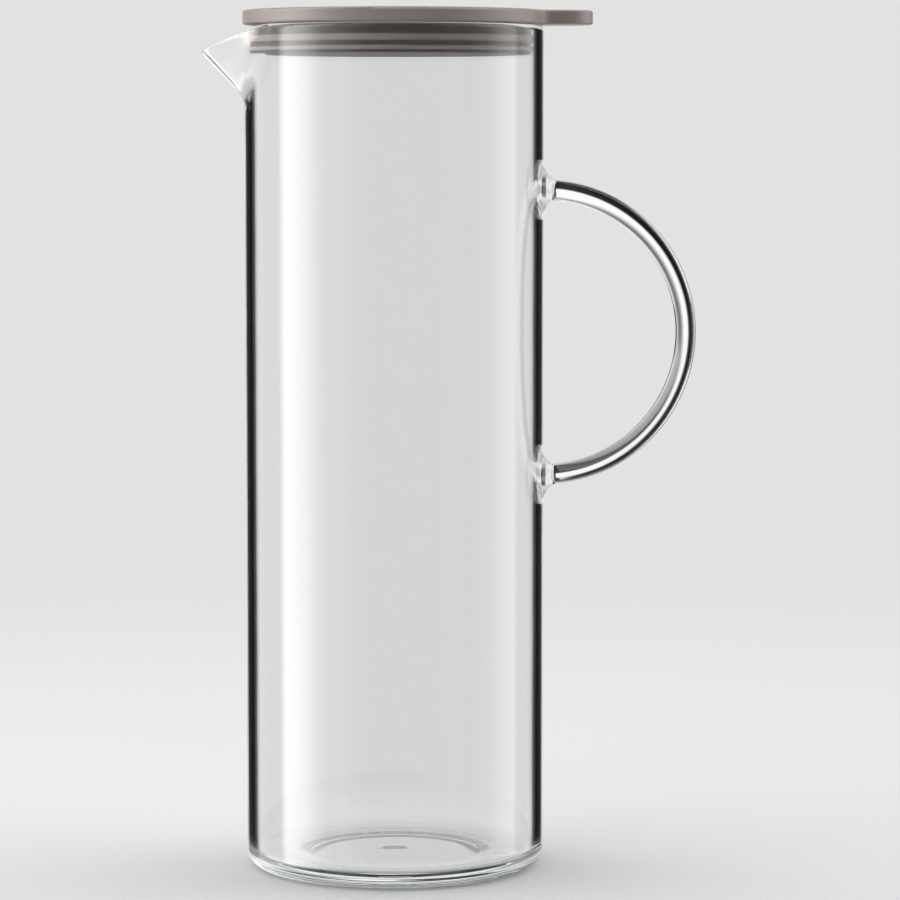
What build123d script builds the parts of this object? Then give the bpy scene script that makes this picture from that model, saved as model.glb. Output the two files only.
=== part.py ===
from build123d import *

import os
from math import atan2, cos, hypot, radians, sin, sqrt, tan

# Glass jug with a pulled spout, a ring handle and a plug lid, in millimetres.
# The foot stands on Z = 0 with the body's axis on Z. The handle is at +X and the spout at -X.

# Glass body
body_radius = 47.5
wall = 3.2
glass_height = 268.5
floor_thickness = 5.0
foot_corner = 5.5
foot_width = 14.5
inside_corner = 2.5
underside_rise = 1.2
underside_curve = 5.0
pip_radius = 3.0
pip_depth = 0.4

# Spout: its nose points along -X and its sides run out into the wall at the half angle
spout_depth = 23.0
spout_reach = 13.2
spout_half_angle = 32.0
spout_nose_round = 0.13
spout_pinch = 1.6
spout_rim_angle = 30.2
spout_side_rise = 12.0
spout_blend = 4.0

# The spout's wall is lofted through upright sections, all these in degrees: how far apart they are,
# how far past the spout's sides the wall is cut, and how far past the cut the sections go on
section_step = 2.0
section_margin = 4.0
section_overrun = 16.0
section_foot = 1.0

# Handle: half a ring of glass rod, melted on to the wall with a flare at each end
handle_drop = 97.3
handle_ring_radius = 45.5
rod_diameter = 6.5
flare_round = 5.6

# Before they are cut to the wall, the flare runs this deep into it and the ring this many degrees
flare_bite = 0.05
ring_overlap = 5.0

# Lid cap, a disc with a thumb tab over the handle
cap_overhang = 0.5
cap_thickness = 4.5
cap_gap = 0.2
cap_edge = 0.8
tab_reach = 15.0
tab_width = 22.0
tab_corner = 10.5
tab_blend = 6.0
socket_depth = 2.2

# Lid plug, a cup welded into the socket under the cap
plug_clearance = 0.9
plug_depth = 9.4
plug_floor = 1.7
plug_wall = 1.9
plug_edge = 0.6
plug_shoulder = 1.6
spigot_clearance = 0.1

# Silicone seals, at the size that the glass presses them to. Each hangs this far under the cap
seal_clearance = 0.05
groove_clearance = 0.05
groove_depth = 1.5
seal_upper_drop = 3.5
seal_upper_height = 2.3
seal_upper_edge = 0.7
seal_lower_drop = 7.1
seal_lower_height = 1.4
seal_lower_edge = 0.45

# Worked out from the sizes above
bore_radius = body_radius - wall
lip_height = glass_height - wall / 2
foot_radius = body_radius - foot_corner
spout_root = glass_height - spout_depth
collar_bottom = spout_root - spout_blend - section_foot
collar_half_angle = spout_half_angle + section_margin
handle_middle = glass_height - handle_drop
rod_radius = rod_diameter / 2
cap_bottom = glass_height + cap_gap
cap_radius = body_radius + cap_overhang
plug_radius = bore_radius - plug_clearance
plug_bottom = cap_bottom - plug_depth
spigot_radius = plug_radius - plug_shoulder
groove_radius = plug_radius - groove_depth
seal_upper_bottom = cap_bottom - seal_upper_drop - seal_upper_height
seal_lower_bottom = cap_bottom - seal_lower_drop - seal_lower_height


def spin(outline):
    """Turn a closed outline, given as radius and height, about the jug's axis."""
    return revolve(Plane.XZ * make_face(outline), Axis.Z)


def plain_glass():
    """The blown body with its round lip, before the spout is pulled."""
    foot_inside = foot_radius - foot_width
    hollow = foot_inside - underside_curve
    floor_radius = bore_radius - inside_corner
    inside_bottom = floor_thickness + inside_corner
    outline = [
        Line((0, underside_rise), (hollow, underside_rise)),
        TangentArc((hollow, underside_rise), (foot_inside, 0), tangent=(1, 0)),
        Line((foot_inside, 0), (foot_radius, 0)),
        TangentArc((foot_radius, 0), (body_radius, foot_corner), tangent=(1, 0)),
        Line((body_radius, foot_corner), (body_radius, lip_height)),
        TangentArc((body_radius, lip_height), (bore_radius, lip_height), tangent=(0, 1)),
        Line((bore_radius, lip_height), (bore_radius, inside_bottom)),
        TangentArc((bore_radius, inside_bottom), (floor_radius, floor_thickness), tangent=(0, -1)),
        Line((floor_radius, floor_thickness), (0, floor_thickness)),
        Line((0, floor_thickness), (0, underside_rise)),
    ]
    ball = (pip_radius**2 + pip_depth**2) / (2 * pip_depth)
    pip = Pos(0, 0, underside_rise + pip_depth - ball) * Sphere(ball)
    return spin(outline) - pip


def beak(angle):
    """How far the spout stands out at an angle from its nose: 1 at the nose, 0 where its sides end."""
    turn = min(abs(angle) / spout_half_angle, 1.0)
    tip = sqrt(1 + spout_nose_round**2)
    return max(tip - hypot(turn, spout_nose_round), 0.0) / (tip - spout_nose_round)


def collar_section(angle):
    """The wall's closed section through the rim at an angle from the spout's nose."""
    share = beak(angle)
    reach = spout_reach * share**spout_pinch
    lip = lip_height - reach * tan(radians(spout_rim_angle))
    corner = spout_root + spout_side_rise * (1 - share)
    lean = atan2(reach, lip - corner)
    length = hypot(reach, lip - corner)
    thickness = wall * cos(lean)

    def at(radius, height):
        """The point in this section at a radius and a height."""
        turn = radians(180 + angle)
        return Vector(radius * cos(turn), radius * sin(turn), height)

    def along(radius, distance):
        """The point that lies a distance up the leaning wall, from the corner at a radius."""
        return at(radius + distance * sin(lean), corner + distance * cos(lean))

    inner_length = length + wall * sin(lean)
    outer_end = along(body_radius, length)
    inner_end = along(bore_radius, inner_length)
    up = along(body_radius, 1) - along(body_radius, 0)
    lip_top = (outer_end + inner_end) / 2 + up * thickness / 2
    low = corner - spout_blend
    return Wire(
        [
            Line(at(bore_radius, collar_bottom), at(body_radius, collar_bottom)),
            Line(at(body_radius, collar_bottom), at(body_radius, low)),
            Bezier(at(body_radius, low), at(body_radius, corner), along(body_radius, spout_blend)),
            Line(along(body_radius, spout_blend), outer_end),
            ThreePointArc(outer_end, lip_top, inner_end),
            Line(inner_end, along(bore_radius, spout_blend)),
            Bezier(along(bore_radius, spout_blend), at(bore_radius, corner), at(bore_radius, low)),
            Line(at(bore_radius, low), at(bore_radius, collar_bottom)),
        ]
    )


def collar_wedge():
    """The block of space that the pulled part of the wall takes, from its lowest point up."""
    reach = 3 * body_radius
    sides = [180 - collar_half_angle, 180 + collar_half_angle]
    corners = [Vector(reach, 0).rotate(Axis.Z, side) for side in sides]
    outline = make_face(Polyline((0, 0), *corners, close=True))
    return Pos(0, 0, collar_bottom) * extrude(outline, glass_height)


def make_glass_body():
    """The jug's one blown piece of glass, with the spout pulled out of its rim."""
    steps = round((collar_half_angle + section_overrun) / section_step)
    sections = [collar_section(section_step * step) for step in range(-steps, steps + 1)]
    wedge = collar_wedge()
    collar = Part() + Solid.make_loft(sections) & wedge
    rest = plain_glass() - wedge
    return rest.fuse(collar, tol=0.0001)


def make_handle():
    """The ring handle, with a flare at each end that lies on the body's wall."""
    top = handle_middle + handle_ring_radius
    axis = Axis((body_radius, 0, handle_middle), (0, 1, 0))
    start = Plane(origin=(body_radius, 0, top), z_dir=(1, 0, 0)) * Circle(rod_radius)
    ring = Part() + revolve(start.rotate(axis, -ring_overlap), axis, 180 + 2 * ring_overlap)
    height = 2 * (handle_ring_radius + rod_diameter + flare_round)
    core = Pos(0, 0, handle_middle) * Cylinder(body_radius - flare_bite, height)
    handle = ring + core
    handle = fillet(handle.edges().filter_by(GeomType.BSPLINE), flare_round)
    return handle - Pos(0, 0, handle_middle) * Cylinder(body_radius, 2 * height)


def make_lid_cap():
    """The lid's disc and thumb tab, moulded in one, with the plug's socket under it."""
    tab_end = cap_radius + tab_reach
    outline = Circle(cap_radius) + Pos(tab_end / 2, 0) * Rectangle(tab_end, tab_width)
    outline = fillet(outline.vertices().group_by(Axis.X)[-2], tab_blend)
    outline = fillet(outline.vertices().group_by(Axis.X)[-1], tab_corner)
    cap = Pos(0, 0, cap_bottom) * extrude(outline, cap_thickness)
    faces = cap.faces().sort_by(Axis.Z)
    cap = fillet(faces[0].edges() + faces[-1].edges(), cap_edge)
    socket = extrude(Circle(spigot_radius + spigot_clearance), socket_depth)
    return cap - Pos(0, 0, cap_bottom) * socket


def make_lid_plug():
    """The hollow plug, with a groove for each seal and a spigot that the cap is welded to."""
    spigot_top = cap_bottom + socket_depth - spigot_clearance
    hollow = plug_bottom + plug_floor
    inside = groove_radius - plug_wall
    outline = [(inside, hollow), (0, hollow), (0, plug_bottom), (plug_radius, plug_bottom)]
    seals = ((seal_lower_bottom, seal_lower_height), (seal_upper_bottom, seal_upper_height))
    for bottom, height in seals:
        low = bottom - groove_clearance
        high = bottom + height + groove_clearance
        outline += [(plug_radius, low), (groove_radius, low), (groove_radius, high), (plug_radius, high)]
    outline += [(plug_radius, cap_bottom), (spigot_radius, cap_bottom)]
    outline += [(spigot_radius, spigot_top), (inside, spigot_top)]
    plug = spin(Polyline(*outline, close=True).edges())
    rim = plug.edges().filter_by(GeomType.CIRCLE).group_by(Axis.Z)[0]
    return fillet(rim, plug_edge)


def make_seal(bottom, height, edge):
    """One silicone ring, with its lip rounded where it meets the glass."""
    inside = groove_radius + groove_clearance
    outside = bore_radius - seal_clearance
    corners = [(inside, bottom), (outside, bottom), (outside, bottom + height), (inside, bottom + height)]
    ring = spin(Polyline(*corners, close=True).edges())
    lips = [e for e in ring.edges().filter_by(GeomType.CIRCLE) if abs(e.radius - outside) < 0.01]
    return fillet(lips, edge)


parts = {
    "glass_body": make_glass_body(),
    "handle": make_handle(),
    "lid_cap": make_lid_cap(),
    "lid_plug": make_lid_plug(),
    "seal_upper": make_seal(seal_upper_bottom, seal_upper_height, seal_upper_edge),
    "seal_lower": make_seal(seal_lower_bottom, seal_lower_height, seal_lower_edge),
}
os.makedirs("parts", exist_ok=True)
for name, shape in parts.items():
    export_step(shape, f"parts/{name}.step")
    print(name, round(shape.volume / 1000, 1), "cm3")
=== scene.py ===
from math import atan2, cos, exp, hypot, pi, radians, sin, sqrt, tan

import bmesh
import bpy
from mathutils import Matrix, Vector


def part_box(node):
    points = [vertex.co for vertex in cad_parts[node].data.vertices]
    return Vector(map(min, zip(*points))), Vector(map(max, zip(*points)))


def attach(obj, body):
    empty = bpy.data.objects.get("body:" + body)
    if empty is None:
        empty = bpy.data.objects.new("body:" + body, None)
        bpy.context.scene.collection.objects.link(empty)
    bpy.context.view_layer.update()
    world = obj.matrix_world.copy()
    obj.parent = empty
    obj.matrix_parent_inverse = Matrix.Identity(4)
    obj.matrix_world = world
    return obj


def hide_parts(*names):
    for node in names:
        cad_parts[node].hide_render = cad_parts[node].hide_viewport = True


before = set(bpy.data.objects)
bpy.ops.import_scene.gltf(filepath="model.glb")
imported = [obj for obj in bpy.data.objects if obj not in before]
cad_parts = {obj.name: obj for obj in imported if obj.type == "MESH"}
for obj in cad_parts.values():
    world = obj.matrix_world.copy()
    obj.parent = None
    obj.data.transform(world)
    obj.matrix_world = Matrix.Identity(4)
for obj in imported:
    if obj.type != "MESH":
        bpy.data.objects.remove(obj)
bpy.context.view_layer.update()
scene = bpy.context.scene


# The camera
# It stands where the photograph's camera stood: a little lower than the lid, square to the spout and
# handle, and so far off that the body's sides look parallel.
camera_place = Vector((0, -1.2, 0.238))
camera_target = Vector((0.01772, 0, 0.1335))
camera_lens = 150.6
nearest_seen = 0.05

camera = bpy.data.objects.new("camera", bpy.data.cameras.new("camera"))
camera.data.lens = camera_lens
camera.data.clip_start = nearest_seen
camera.location = camera_place
camera.rotation_euler = (camera_target - camera_place).to_track_quat("-Z", "Y").to_euler()
scene.collection.objects.link(camera)
scene.camera = camera
scene.view_settings.view_transform = "Standard"

# Light crosses up to a dozen glass faces here, and runs round inside the handle's rod
scene.cycles.max_bounces = 32
scene.cycles.transmission_bounces = 32
scene.cycles.glossy_bounces = 16
scene.cycles.transparent_max_bounces = 24


# The studio
# A pale floor runs into a pale surround of the same tone. The glass mirrors soft boxes to the left
# and right, and dark screens beside the pale ground draw its edges, as glass is lit for a catalogue.
pale = 0.76


def add_node(tree, kind, inputs=(), **settings):
    """Add a shader node. Its inputs, by place or by name, are plain values or the sockets to link."""
    made = tree.nodes.new("ShaderNode" + kind)
    for name, value in settings.items():
        setattr(made, name, value)
    for place, value in inputs.items() if isinstance(inputs, dict) else enumerate(inputs):
        if isinstance(value, bpy.types.NodeSocket):
            tree.links.new(value, made.inputs[place])
        else:
            made.inputs[place].default_value = value
    return made


def math_node(tree, operation, *values):
    """The result of one sum on plain values or sockets."""
    return add_node(tree, "Math", values, operation=operation).outputs[0]


def both(tree, first, second):
    """1 where both shares are 1."""
    return math_node(tree, "MULTIPLY", first, second)


def mix_values(tree, share, first, second):
    """The first value where share is 0, the second where it is 1."""
    return add_node(tree, "Mix", {0: share, 2: first, 3: second}, data_type="FLOAT").outputs[0]


def ease(tree, value, start, end):
    """0 up to the start, 1 from the end on and a smooth change between them."""
    steps = {"Value": value, "From Min": start, "From Max": end}
    return add_node(tree, "MapRange", steps, interpolation_type="SMOOTHSTEP").outputs[0]


def tones_along(tree, place, stops):
    """A value along a line, each stop being a place from 0 to 1 on it and the value there."""
    most = max(tone for where, tone in stops)
    ramp = add_node(tree, "ValToRGB", [place])
    elements = ramp.color_ramp.elements
    while len(elements) < len(stops):
        elements.new(0.5)
    for element, (where, tone) in zip(elements, stops):
        element.position = where
        element.color = (tone / most, tone / most, tone / most, 1)
    return math_node(tree, "MULTIPLY", ramp.outputs["Color"], most)


def spread(stops, start, end):
    """The stops of tones_along from stops in degrees, where start is 0 and end is 1."""
    return [((degrees - start) / (end - start), tone) for degrees, tone in stops]


def read_ray(tree):
    """The Light Path's outputs, and 1 where light was mirrored, crossed one piece or was scattered."""
    ray = add_node(tree, "LightPath").outputs
    bounced = math_node(tree, "GREATER_THAN", ray["Glossy Depth"], 0.5)
    one_piece = math_node(tree, "COMPARE", ray["Transmission Depth"], 2.0, 0.5)
    scattered = math_node(tree, "GREATER_THAN", ray["Diffuse Depth"], 0.5)
    return ray, bounced, one_piece, scattered


# What the glass mirrors and what lights matt surfaces, by degrees round the studio: 0 is the camera's
# side, 90 the right and 180 behind the jug. Below, each pair of degrees is where a tone starts to
# come in and where it is full.
mirrored = (
    (-180, 0.76),
    (-163, 0.76),
    (-160, 0.02),
    (-136, 0.02),
    (-129, 1.7),
    (-100, 1.5),
    (-92, 8.0),
    (-80, 7.4),
    (-70, 5.4),
    (-60, 2.6),
    (-50, 1.0),
    (-35, 0.3),
    (-20, 0.06),
    (55, 0.06),
    (76, 0.8),
    (88, 2.4),
    (104, 3.3),
    (110, 1.4),
    (129, 1.2),
    (136, 0.02),
    (160, 0.02),
    (163, 0.76),
    (180, 0.76),
)
low_softbox = 2.4
low_softbox_rise = -10, -22
low_softbox_turn = -15, -45
straight_down = 0.6
straight_down_rise = -46, -58
lighting = (
    (-180, 0.9),
    (-125, 2.3),
    (-80, 1.2),
    (-50, 0.95),
    (-20, 0.72),
    (0, 0.35),
    (20, 0.15),
    (45, 0.25),
    (80, 1.35),
    (110, 2.3),
    (180, 0.9),
)
lighting_from_below = 0.45
lighting_from_above = 1.15
lighting_rise = -25, 55

studio = bpy.data.worlds.new("studio")
scene.world = studio
studio.use_nodes = True
tree = studio.node_tree
tree.nodes.clear()
ray, bounced, one_piece, scattered = read_ray(tree)
way = add_node(tree, "SeparateXYZ", [add_node(tree, "TexCoord").outputs["Generated"]]).outputs
towards_camera = math_node(tree, "MULTIPLY", way["Y"], -1.0)
turn = math_node(tree, "DEGREES", math_node(tree, "ARCTAN2", way["X"], towards_camera))
rise = math_node(tree, "DEGREES", math_node(tree, "ARCSINE", way["Z"]))
around = math_node(tree, "MULTIPLY_ADD", turn, 1 / 360, 0.5)
mirror_light = tones_along(tree, around, spread(mirrored, -180, 180))
low_left = both(tree, ease(tree, rise, *low_softbox_rise), ease(tree, turn, *low_softbox_turn))
mirror_light = mix_values(tree, low_left, mirror_light, low_softbox)
mirror_light = mix_values(tree, ease(tree, rise, *straight_down_rise), mirror_light, straight_down)
high_light = mix_values(tree, ease(tree, rise, *lighting_rise), lighting_from_below, lighting_from_above)
matt_light = math_node(tree, "MULTIPLY", tones_along(tree, around, spread(lighting, -180, 180)), high_light)

# What is seen bent through the handle's solid rod, in degrees from the nearest quarter of the studio,
# so that it serves every side: tones above and below eye level, and the parts that differ from them.
rod_above = (
    (-45, 0.65), (-40, 0.5), (-34, 0.05), (-15, 0.004), (-9, 0.05), (-6, 0.3), (-3, 1.0),
    (9, 1.1), (14, 0.7), (18, 0.4), (22, 0.22), (28, 0.14), (36, 0.28), (45, 0.65),
)
rod_below = (
    (-45, 0.65), (-40, 0.5), (-34, 0.06), (-20, 0.004), (-8, 0.004), (1, 0.03), (5, 0.16), (9, 0.08),
    (14, 0.34), (30, 0.46), (45, 0.65),
)
rod_below_rise = -3, -8
upper_left = 0.01
upper_left_rise = 7, 15
upper_left_turn = 2, -3
overhead = 0.25
overhead_rise = 22, 42
eye_level = -3.0
outer_face = 0.8
outer_face_turn = -26, -32
outer_face_rise = 6, 11
steep = 0.6
steep_rise = 40, 50

off_quarter = math_node(tree, "WRAP", math_node(tree, "MULTIPLY", turn, -1.0), 45.0, -45.0)
across = math_node(tree, "MULTIPLY_ADD", off_quarter, 1 / 90, 0.5)
above_light = tones_along(tree, across, spread(rod_above, -45, 45))
below_light = tones_along(tree, across, spread(rod_below, -45, 45))
rod_light = mix_values(tree, ease(tree, rise, *rod_below_rise), above_light, below_light)
on_upper_left = both(tree, ease(tree, rise, *upper_left_rise), ease(tree, off_quarter, *upper_left_turn))
rod_light = mix_values(tree, on_upper_left, rod_light, upper_left)
rod_light = mix_values(tree, ease(tree, rise, *overhead_rise), rod_light, overhead)
off_level = math_node(tree, "ABSOLUTE", math_node(tree, "SUBTRACT", rise, eye_level))
on_outer_face = both(tree, ease(tree, off_quarter, *outer_face_turn), ease(tree, off_level, *outer_face_rise))
rod_light = mix_values(tree, on_outer_face, rod_light, outer_face)
rod_light = mix_values(tree, ease(tree, off_level, *steep_rise), rod_light, steep)

# What is seen bent in the edge of one wall, and through both walls, by degrees to either side of the
# nearest quarter
wall_edge = (
    (0, 0.02), (7, 0.03), (13, 0.06), (17, 0.04), (20, 0.004), (29, 0.004), (34, 0.08), (39, 0.25), (45, 0.5),
)
off_level_edge = 0.95
edge_top_rise = 14, 9
edge_bottom_rise = -28, -14
brightest_edge = 0.9
near_side_turn = 50, 40
through_both_walls = (0, 0.725), (14, 0.725), (18, 0.62), (24, 0.48), (29, 0.38), (40, 0.55), (45, 0.72)
dark_ceiling = 0.1
dark_ceiling_rise = 14, 36

aside = math_node(tree, "MULTIPLY", math_node(tree, "ABSOLUTE", off_quarter), 1 / 45)
edge_light = tones_along(tree, aside, spread(wall_edge, 0, 45))
level = both(tree, ease(tree, rise, *edge_top_rise), ease(tree, rise, *edge_bottom_rise))
edge_light = mix_values(tree, level, off_level_edge, edge_light)
off_front = math_node(tree, "ABSOLUTE", turn)
near_light = math_node(tree, "MINIMUM", mirror_light, brightest_edge)
edge_light = mix_values(tree, ease(tree, off_front, *near_side_turn), edge_light, near_light)
wall_light = tones_along(tree, aside, spread(through_both_walls, 0, 45))
wall_light = mix_values(tree, bounced, wall_light, through_both_walls[0][1])
wall_light = mix_values(tree, ease(tree, rise, *dark_ceiling_rise), wall_light, dark_ceiling)

beyond = mix_values(tree, one_piece, wall_light, mix_values(tree, bounced, rod_light, edge_light))
beyond = mix_values(tree, scattered, beyond, matt_light)
light = mix_values(tree, ray["Is Diffuse Ray"], pale, matt_light)
light = mix_values(tree, ray["Is Glossy Ray"], light, mirror_light)
light = mix_values(tree, ray["Is Transmission Ray"], light, beyond)
background = add_node(tree, "Background", {"Color": (1, 1, 1, 1), "Strength": light})
add_node(tree, "OutputWorld", {"Surface": background.outputs[0]})

# The floor is matt near the jug and glows as pale as the surround further off. Through glass it glows
# all over, but for a painted shadow under the foot, or stands open, so that the surround shows instead.
floor_radius = 1.6
floor_sides = 96
floor_tone = 0.56
floor_bounce = 0.4
pale_from = 0.25, 0.9
glow_through_glass = 0.85
underfoot_painted_shadow = 0.22
underfoot_one_piece_painted_shadow = 0.5
painted_shadow_reach = 0.075, 0.055
open_beyond_length = 0.035
mirrored_floor_reach = 0.08, 0.2
mirrored_floor_left = -0.01, -0.06

floor_mesh = bpy.data.meshes.new("floor")
shape = bmesh.new()
bmesh.ops.create_circle(shape, cap_ends=True, segments=floor_sides, radius=floor_radius)
shape.to_mesh(floor_mesh)
shape.free()
floor = bpy.data.objects.new("floor", floor_mesh)
scene.collection.objects.link(floor)

floor_paint = bpy.data.materials.new("floor_paint")
floor_paint.use_nodes = True
tree = floor_paint.node_tree
tree.nodes.clear()
ray, bounced, one_piece, scattered = read_ray(tree)
spot = add_node(tree, "NewGeometry").outputs["Position"]
away = add_node(tree, "VectorMath", [spot], operation="LENGTH").outputs["Value"]
floor_colour = mix_values(tree, scattered, floor_tone, floor_tone * floor_bounce)
near_floor = add_node(tree, "BsdfDiffuse", {"Color": floor_colour})
# A painted shadow: near the axis, where glass mirrors the floor, it glows dark, as the ground under the foot
on_painted_shadow = both(tree, bounced, ease(tree, away, *painted_shadow_reach))
ground_light = mix_values(tree, one_piece, underfoot_painted_shadow, underfoot_one_piece_painted_shadow)
ground_light = mix_values(tree, on_painted_shadow, pale, ground_light)
far_floor = add_node(tree, "Emission", {"Color": (1, 1, 1, 1), "Strength": ground_light})
through_glass = math_node(tree, "GREATER_THAN", ray["Transmission Depth"], 0.5)
unscattered = math_node(tree, "SUBTRACT", 1.0, scattered)
lit = both(tree, math_node(tree, "MULTIPLY", through_glass, glow_through_glass), unscattered)
glowing = math_node(tree, "MAXIMUM", ease(tree, away, *pale_from), lit)
paint = add_node(tree, "MixShader", [glowing, near_floor.outputs[0], far_floor.outputs[0]])
long_way = math_node(tree, "GREATER_THAN", ray["Ray Length"], open_beyond_length)
opened = both(tree, mix_values(tree, bounced, one_piece, long_way), unscattered)
leftwards = add_node(tree, "SeparateXYZ", [spot]).outputs["X"]
clear_of_foot = math_node(
    tree, "MAXIMUM", ease(tree, away, *mirrored_floor_reach), ease(tree, leftwards, *mirrored_floor_left)
)
opened = math_node(tree, "MAXIMUM", opened, both(tree, ray["Is Glossy Ray"], clear_of_foot))
open_floor = add_node(tree, "BsdfTransparent")
paint = add_node(tree, "MixShader", [opened, paint.outputs[0], open_floor.outputs[0]])
add_node(tree, "OutputMaterial", {"Surface": paint.outputs[0]})
floor_mesh.materials.append(floor_paint)

# The softboxes light the matt pieces. Each has its place, its size and its watts.
softboxes = {
    "left_softbox": ((-1.3, -0.35, 0.55), (0.9, 1.4), 8),
    "right_softbox": ((1.4, -0.1, 0.55), (0.7, 1.2), 2),
    "overhead_softbox": ((0, 0.1, 1.5), (1.0, 1.0), 2.5),
}
jug_middle = Vector((0, 0, 0.14))

for name, (place, size, power) in softboxes.items():
    lamp = bpy.data.objects.new(name, bpy.data.lights.new(name, "AREA"))
    lamp.data.shape = "RECTANGLE"
    lamp.data.size, lamp.data.size_y = size
    lamp.data.energy = power
    lamp.location = place
    lamp.rotation_euler = (jug_middle - lamp.location).to_track_quat("-Z", "Y").to_euler()
    lamp.visible_camera = lamp.visible_glossy = lamp.visible_transmission = False
    scene.collection.objects.link(lamp)


# The glass: body, spout and handle
# One piece of clear borosilicate glass. The body is blown, its rim is pulled into a spout while it is
# hot, and the handle, half a ring of solid rod, is melted on to the wall at both ends.
glass_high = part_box("glass_body")[1]
rod_low, rod_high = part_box("handle")
body_radius = glass_high.y
glass_height = glass_high.z
wall = 0.0032
bore_radius = body_radius - wall
lip_height = glass_height - wall / 2
foot_corner = 0.0055
foot_width = 0.0145
foot_radius = body_radius - foot_corner
foot_inside = foot_radius - foot_width
underside_rise = 0.0012
underside_curve = 0.005
pip_radius = 0.003
pip_depth = 0.0004
floor_thickness = 0.005
inside_corner = 0.0025

spout_depth = 0.023
spout_reach = 0.0132
spout_half_angle = 32
spout_nose_round = 0.13
spout_pinch = 1.6
spout_rim_angle = radians(30.2)
spout_side_rise = 0.012
spout_blend = 0.004
collar_margin = 0.001
spout_root = glass_height - spout_depth
collar_bottom = spout_root - spout_blend - collar_margin

rod_radius = 0.00325
handle_ring_radius = rod_high.x - body_radius - rod_radius
handle_middle = (rod_low.z + rod_high.z) / 2
weld_radius = 0.0098
weld_height = 0.0041
weld_dent = 0.0007
weld_dent_width = 0.006
low_weld = handle_middle - handle_ring_radius
high_weld = handle_middle + handle_ring_radius

# The mesh is a net of upright columns, closer together round the spout, and of rows. Each weld takes
# the place of a square of the net's cells on the outer wall.
spout_columns = 96
spout_span = 72
wall_columns = 230
weld_cells = 10
column_step = (360 - spout_span) / wall_columns
weld_side = body_radius * sin(radians(weld_cells * column_step))
weld_ring_shares = 0.3, 0.65
rod_rings = 96
row_clearance = 0.0003
lowest_inside_row = floor_thickness + inside_corner + row_clearance


def even_steps(start, end, count):
    """Values from start towards end in even steps, without the end itself."""
    return [start + (end - start) * step / count for step in range(count)]


def wall_rows():
    """Heights up the plain wall from the foot to the collar, and the rows in the middle of the welds."""
    rows = even_steps(foot_corner, low_weld - weld_side, count=18)
    middles = [len(rows) + weld_cells]
    rows += even_steps(low_weld - weld_side, low_weld + weld_side, 2 * weld_cells)
    rows += even_steps(low_weld + weld_side, high_weld - weld_side, count=12)
    middles.append(len(rows) + weld_cells)
    rows += even_steps(high_weld - weld_side, high_weld + weld_side, 2 * weld_cells)
    rows += even_steps(high_weld + weld_side, collar_bottom, count=3)
    return rows, middles


def underside():
    """The foot's section from the axis out: a raised middle with a pip, a flat ring and a round corner."""
    hollow = foot_inside - underside_curve
    arc = (underside_curve**2 + underside_rise**2) / (2 * underside_rise)
    points = []
    for radius in even_steps(0, pip_radius, count=5) + even_steps(pip_radius, hollow, count=6):
        points.append((radius, underside_rise + pip_depth * max(0.0, 1 - (radius / pip_radius) ** 2)))
    for radius in even_steps(hollow, foot_inside, count=9) + [foot_inside]:
        points.append((radius, underside_rise - arc + sqrt(arc**2 - (radius - hollow) ** 2)))
    points += [(radius, 0.0) for radius in even_steps(foot_inside, foot_radius, count=3)[1:]]
    for turn in even_steps(0, pi / 2, count=8):
        points.append((foot_radius + foot_corner * sin(turn), foot_corner * (1 - cos(turn))))
    return points


def inside_floor():
    """The section inside, from the wall down round the corner and in to the axis."""
    middle = bore_radius - inside_corner
    points = []
    for turn in even_steps(0, pi / 2, count=10):
        height = floor_thickness + inside_corner * (1 - sin(turn))
        points.append((middle + inside_corner * cos(turn), height))
    points += [(radius, floor_thickness) for radius in even_steps(middle, 0, count=10)]
    return points + [(0, floor_thickness)]


def collar(angle):
    """The collar's section at an angle from the spout's nose: up outside, over the lip, down inside."""
    nose = sqrt(1 + spout_nose_round**2)
    turn = min(abs(angle) / spout_half_angle, 1.0)
    share = max(nose - hypot(turn, spout_nose_round), 0.0) / (nose - spout_nose_round)
    reach = spout_reach * share**spout_pinch
    lip = lip_height - reach * tan(spout_rim_angle)
    corner = spout_root + spout_side_rise * (1 - share)
    lean = atan2(reach, lip - corner)
    length = hypot(reach, lip - corner)
    up = Vector((sin(lean), cos(lean)))

    def side(radius, length):
        """Upright, then round the bend and up the leaning part, on one face of the wall."""
        bend = Vector((radius, corner))
        low = Vector((radius, corner - spout_blend))
        high = bend + up * spout_blend
        points = [Vector((radius, height)) for height in even_steps(collar_bottom, low.y, count=4)]
        for step in even_steps(0, 1, count=8):
            points.append(low * (1 - step) ** 2 + bend * 2 * step * (1 - step) + high * step**2)
        top = bend + up * length
        return points + [high.lerp(top, step) for step in even_steps(0, 1, count=8)] + [top]

    outside = side(body_radius, length)
    inside = side(bore_radius, length + wall * sin(lean))
    middle = (outside[-1] + inside[-1]) / 2
    across = outside[-1] - middle
    over = []
    for turn in even_steps(0, pi, count=10)[1:]:
        over.append(across * cos(turn) + up * across.length * sin(turn) + middle)
    return outside + over + inside[::-1]


def dented(angle, height):
    """How far the inner wall is pushed in behind the welds."""
    depth = 0
    for weld in (low_weld, high_weld):
        apart = hypot(body_radius * sin(radians(angle)), height - weld)
        depth += weld_dent * exp(-((apart / weld_dent_width) ** 2))
    return depth if abs(angle) < 90 else 0


def square_ring(half):
    """The net's crossings round a square of cells, from the middle of one side."""
    corners = [(half, 0), (half, half), (-half, half), (-half, -half), (half, -half), (half, 0)]
    places = []
    for (x0, y0), (x1, y1) in zip(corners, corners[1:]):
        count = max(abs(x1 - x0), abs(y1 - y0))
        for step in range(count):
            places.append((x0 + (x1 - x0) * step // count, y0 + (y1 - y0) * step // count))
    return places


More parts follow.
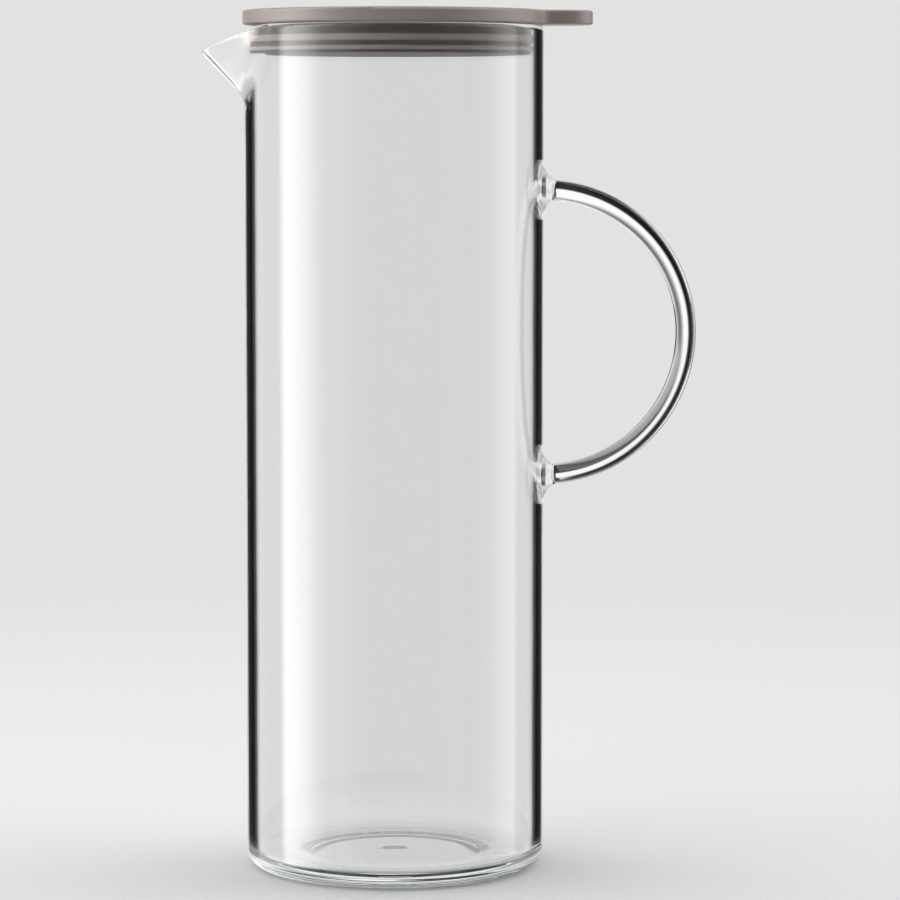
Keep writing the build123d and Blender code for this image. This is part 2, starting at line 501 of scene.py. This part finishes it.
def rod_ring(turn, offsets, hug):
    """A ring of points about the rod's centre line at a turn of the handle, pressed to the wall by hug."""
    points = []
    for across, out in offsets:
        sag = body_radius - sqrt(body_radius**2 - across**2)
        x = body_radius + (handle_ring_radius + out) * sin(turn) - hug * sag
        points.append((x, across, handle_middle + (handle_ring_radius + out) * cos(turn)))
    return points


def handle_rings(square):
    """Rings of points from the square of one weld, over its flare and along the rod, to the other weld."""
    count = len(square)
    circle = [(cos(2 * pi * step / count), sin(2 * pi * step / count)) for step in range(count)]
    rings = []
    for share in weld_ring_shares:
        offsets = []
        for (across, out), (cell_x, cell_y) in zip(circle, square):
            x = weld_side * cell_x / weld_cells
            y = weld_side * cell_y / weld_cells
            offsets.append((x + (across * weld_radius - x) * share, y + (out * weld_radius - y) * share))
        rings.append((0.0, offsets, 1.0))
    for step in even_steps(0, 1, count=10) + [1]:
        radius = rod_radius + (weld_radius - rod_radius) * (1 - sin(step * pi / 2))
        turn = weld_height * (1 - cos(step * pi / 2)) / handle_ring_radius
        rings.append((turn, [(across * radius, out * radius) for across, out in circle], (1 - step) ** 2))
    start = rings[-1][0]
    along = [(turn, rings[-1][1], 0.0) for turn in even_steps(start, pi - start, rod_rings)[1:]]
    back = [(pi - turn, offsets, hug) for turn, offsets, hug in reversed(rings)]
    return [rod_ring(*ring) for ring in rings + along + back]


def glass_section(angle, foot, rows):
    """The glass's section at an angle round the body: out from the axis, up, over the lip and down inside."""
    section = foot[1:] + [(body_radius, height) for height in rows]
    section += [tuple(point) for point in collar(180 - abs(angle) if angle < 180 else angle - 180)]
    for height in reversed(rows):
        if height > lowest_inside_row:
            section.append((bore_radius - dented(angle, height), height))
    return section + inside_floor()[:-1]


def wall_faces(columns, holes):
    """The faces between the net's columns, without the squares of cells where the welds are."""
    faces = []
    middle_column = wall_columns // 2
    for index, column in enumerate(columns):
        beside = columns[(index + 1) % len(columns)]
        in_weld = middle_column - weld_cells <= index < middle_column + weld_cells
        for row in range(len(column) - 1):
            if in_weld and any(hole - weld_cells <= row < hole + weld_cells for hole in holes):
                continue
            corners = (column[row], beside[row], beside[row + 1], column[row + 1])
            faces.append(tuple(dict.fromkeys(corners)))
    return faces


def tube_faces(rings):
    """The faces between one ring of points and the next."""
    faces = []
    for ring, beside in zip(rings, rings[1:]):
        for step in range(len(ring)):
            after = (step + 1) % len(ring)
            faces.append((ring[step], beside[step], beside[after], ring[after]))
    return faces


def build_glass():
    """The whole glass as one closed mesh."""
    span = 180 - spout_span / 2
    angles = even_steps(-span, span, wall_columns) + even_steps(span, 360 - span, spout_columns)
    rows, weld_rows = wall_rows()
    foot = underside()
    points = [Vector((0, 0, foot[0][1])), Vector((0, 0, floor_thickness))]
    columns = []
    for angle in angles:
        column = [0]
        for radius, height in glass_section(angle, foot, rows):
            column.append(len(points))
            points.append(Vector((radius * cos(radians(angle)), radius * sin(radians(angle)), height)))
        columns.append(column + [1])

    low, high = [len(foot) + row for row in weld_rows]
    square = square_ring(weld_cells)
    middle_column = wall_columns // 2
    rings = [[columns[middle_column + x][high + y] for x, y in square]]
    for ring in handle_rings(square):
        rings.append(list(range(len(points), len(points) + len(ring))))
        points += [Vector(point) for point in ring]
    rings.append([columns[middle_column + x][low - y] for x, y in square])

    mesh = bpy.data.meshes.new("glass")
    mesh.from_pydata(points, [], wall_faces(columns, (low, high)) + tube_faces(rings))
    shape = bmesh.new()
    shape.from_mesh(mesh)
    bmesh.ops.recalc_face_normals(shape, faces=shape.faces)
    shape.to_mesh(mesh)
    shape.free()
    mesh.shade_smooth()
    return mesh


# Light that hasn't found its way out of the glass within so many turns ends as a painted pale glow: the glass
# glows there, though it is no lamp
glass_colour = 0.985, 0.988, 0.986, 1
glass_bending = 1.47
ripple_scale = 35.0
ripple_strength = 0.12
ripple_depth = 0.0004
shadow_face_on = 0.97, 0.975, 0.972, 1
shadow_edge_on = 0.5, 0.52, 0.51, 1
most_turns = 11
painted_glow_colour = 1, 0.92, 0.94, 1
painted_glow_strength = 0.9
tint_colour = 0.8, 0.93, 0.885, 1
tint_density = 5.0

clear_glass = bpy.data.materials.new("clear_glass_material")
clear_glass.use_nodes = True
tree = clear_glass.node_tree
tree.nodes.clear()
position = add_node(tree, "TexCoord").outputs["Object"]
noise = {"Vector": position, "Scale": ripple_scale, "Detail": 2.0, "Roughness": 0.4}
swirl = add_node(tree, "TexNoise", noise).outputs[0]
bumps = {"Strength": ripple_strength, "Distance": ripple_depth, "Height": swirl}
ripple = add_node(tree, "Bump", bumps)
glass = add_node(
    tree,
    "BsdfPrincipled",
    {
        "Base Color": glass_colour,
        "Roughness": 0.0,
        "IOR": glass_bending,
        "Transmission Weight": 1.0,
        "Normal": ripple.outputs[0],
    },
)
facing = add_node(tree, "LayerWeight", {"Blend": 0.35}).outputs["Facing"]
shade = add_node(tree, "Mix", {0: facing, 6: shadow_face_on, 7: shadow_edge_on}, data_type="RGBA")
let_through = add_node(tree, "BsdfTransparent", {"Color": shade.outputs[2]})
ray = add_node(tree, "LightPath").outputs
trapped = math_node(tree, "GREATER_THAN", ray["Ray Depth"], most_turns)
# A painted glow: an emission where light has crossed the glass more than most_turns times
painted_glow = add_node(tree, "Emission", {"Color": painted_glow_colour, "Strength": painted_glow_strength})
surface = add_node(tree, "MixShader", [trapped, glass.outputs[0], painted_glow.outputs[0]])
surface = add_node(tree, "MixShader", [ray["Is Shadow Ray"], surface.outputs[0], let_through.outputs[0]])
tint = add_node(tree, "VolumeAbsorption", {"Color": tint_colour, "Density": tint_density})
add_node(tree, "OutputMaterial", {"Surface": surface.outputs[0], "Volume": tint.outputs[0]})

glass_mesh = build_glass()
glass_mesh.materials.append(clear_glass)
jug_glass = bpy.data.objects.new("jug_glass", glass_mesh)
scene.collection.objects.link(jug_glass)
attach(jug_glass, "jug")
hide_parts("glass_body", "handle")


# The lid's cap and plug
# Two taupe plastic mouldings with a fine satin grain, the plug welded into the socket under the cap.
# Their edges are a little smoother, where hands and the dishwasher rub them, and painted paler along them as
# a highlight.
cloud_scale = 45.0
cloud_edges = 0.3, 0.7
cloud_dulling = 0.06
patch_scale = 260.0
fine_scale = 900.0
fine_dulling = 0.05
grain_scale = 2600.0
grain_strength = 0.25
rubbed_and_painted_highlight_width = 0.0009
rubbed_and_painted_highlight_bend = 1.0, 0.93
rubbed_and_painted_highlight_raggedness = 0.04
rubbed_polish = -0.12


def build_moulded_finish():
    """A node group: the colour, roughness and normal of a cloudy, grained surface whose edges are worn
    smoother and painted paler as a highlight.
    """
    group = bpy.data.node_groups.new("moulded_finish", "ShaderNodeTree")
    for way, name, kind in (
        ("INPUT", "Colour", "Color"),
        ("INPUT", "Cloud Colour", "Color"),
        ("INPUT", "Painted Edge Highlight Colour", "Color"),
        ("INPUT", "Roughness", "Float"),
        ("INPUT", "Grain Depth", "Float"),
        ("OUTPUT", "Colour", "Color"),
        ("OUTPUT", "Roughness", "Float"),
        ("OUTPUT", "Normal", "Vector"),
    ):
        group.interface.new_socket(name, in_out=way, socket_type="NodeSocket" + kind)
    given = group.nodes.new("NodeGroupInput").outputs
    result = group.nodes.new("NodeGroupOutput").inputs
    position = add_node(group, "TexCoord").outputs["Object"]

    clouds = add_node(group, "TexNoise", {"Vector": position, "Scale": cloud_scale, "Detail": 4.0}).outputs[0]
    clouds = ease(group, clouds, *cloud_edges)
    tone = add_node(group, "Mix", {0: clouds, 6: given["Colour"], 7: given["Cloud Colour"]}, data_type="RGBA")

    # The edge mask smooths the worn edges and paints them paler: a painted highlight
    flat = add_node(group, "NewGeometry").outputs["Normal"]
    rounded = add_node(group, "Bevel", {"Radius": rubbed_and_painted_highlight_width}, samples=4).outputs[0]
    along = add_node(group, "VectorMath", [flat, rounded], operation="DOT_PRODUCT").outputs["Value"]
    patches = add_node(group, "TexNoise", {"Vector": position, "Scale": patch_scale, "Detail": 3.0})
    ragged = math_node(group, "MULTIPLY_ADD", patches.outputs[0], rubbed_and_painted_highlight_raggedness, along)
    edge = ease(group, ragged, *rubbed_and_painted_highlight_bend)
    tone = add_node(group, "Mix", {0: edge, 6: tone.outputs[2], 7: given["Painted Edge Highlight Colour"]}, data_type="RGBA")
    group.links.new(tone.outputs[2], result["Colour"])

    fine = add_node(group, "TexNoise", {"Vector": position, "Scale": fine_scale, "Detail": 2.0}).outputs[0]
    gloss = math_node(group, "MULTIPLY_ADD", clouds, cloud_dulling, given["Roughness"])
    gloss = math_node(group, "MULTIPLY_ADD", fine, fine_dulling, gloss)
    gloss = math_node(group, "MULTIPLY_ADD", edge, rubbed_polish, gloss)
    group.links.new(gloss, result["Roughness"])

    grain = add_node(group, "TexNoise", {"Vector": position, "Scale": grain_scale, "Detail": 2.0}).outputs[0]
    bumps = {"Strength": grain_strength, "Distance": given["Grain Depth"], "Height": grain}
    group.links.new(add_node(group, "Bump", bumps).outputs[0], result["Normal"])
    return group


moulded_finish = build_moulded_finish()


def add_plastic(name, colour, cloud, painted_edge_highlight, roughness, grain_depth, shine):
    """A moulded material with its own colours, grain and shine."""
    made = bpy.data.materials.new(name)
    made.use_nodes = True
    tree = made.node_tree
    tree.nodes.clear()
    finish = tree.nodes.new("ShaderNodeGroup")
    finish.node_tree = moulded_finish
    for place, value in enumerate((colour, cloud, painted_edge_highlight, roughness, grain_depth)):
        finish.inputs[place].default_value = value
    surface = {
        "Base Color": finish.outputs["Colour"],
        "Roughness": finish.outputs["Roughness"],
        "Normal": finish.outputs["Normal"],
        "Specular IOR Level": shine,
    }
    plastic = add_node(tree, "BsdfPrincipled", surface)
    add_node(tree, "OutputMaterial", {"Surface": plastic.outputs[0]})
    return made


cap_plastic = add_plastic(
    "lid_cap_plastic",
    colour=(0.285, 0.237, 0.223, 1),
    cloud=(0.315, 0.264, 0.249, 1),
    painted_edge_highlight=(0.42, 0.365, 0.35, 1),
    roughness=0.38,
    grain_depth=0.00003,
    shine=0.5,
)
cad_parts["lid_cap"].data.materials[0] = cap_plastic
# The plug is the cap's taupe painted darker: painted shade for where it sits under the cap
plug_plastic_painted_shade = add_plastic(
    "lid_plug_plastic_painted_shade",
    colour=(0.19, 0.157, 0.148, 1),
    cloud=(0.21, 0.175, 0.165, 1),
    painted_edge_highlight=(0.24, 0.2, 0.19, 1),
    roughness=0.45,
    grain_depth=0.00003,
    shine=0.2,
)
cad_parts["lid_plug"].data.materials[0] = plug_plastic_painted_shade


# The two seals
# Rings of matt silicone, a paler taupe than the lid's own. They are sprung into the plug's grooves
# and press on the inside of the neck.
seal_silicone = add_plastic(
    "seal_silicone_rubber",
    colour=(0.52, 0.45, 0.428, 1),
    cloud=(0.55, 0.477, 0.455, 1),
    painted_edge_highlight=(0.58, 0.505, 0.48, 1),
    roughness=0.5,
    grain_depth=0.00002,
    shine=0.35,
)
for name in ("seal_upper", "seal_lower"):
    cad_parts[name].data.materials[0] = seal_silicone
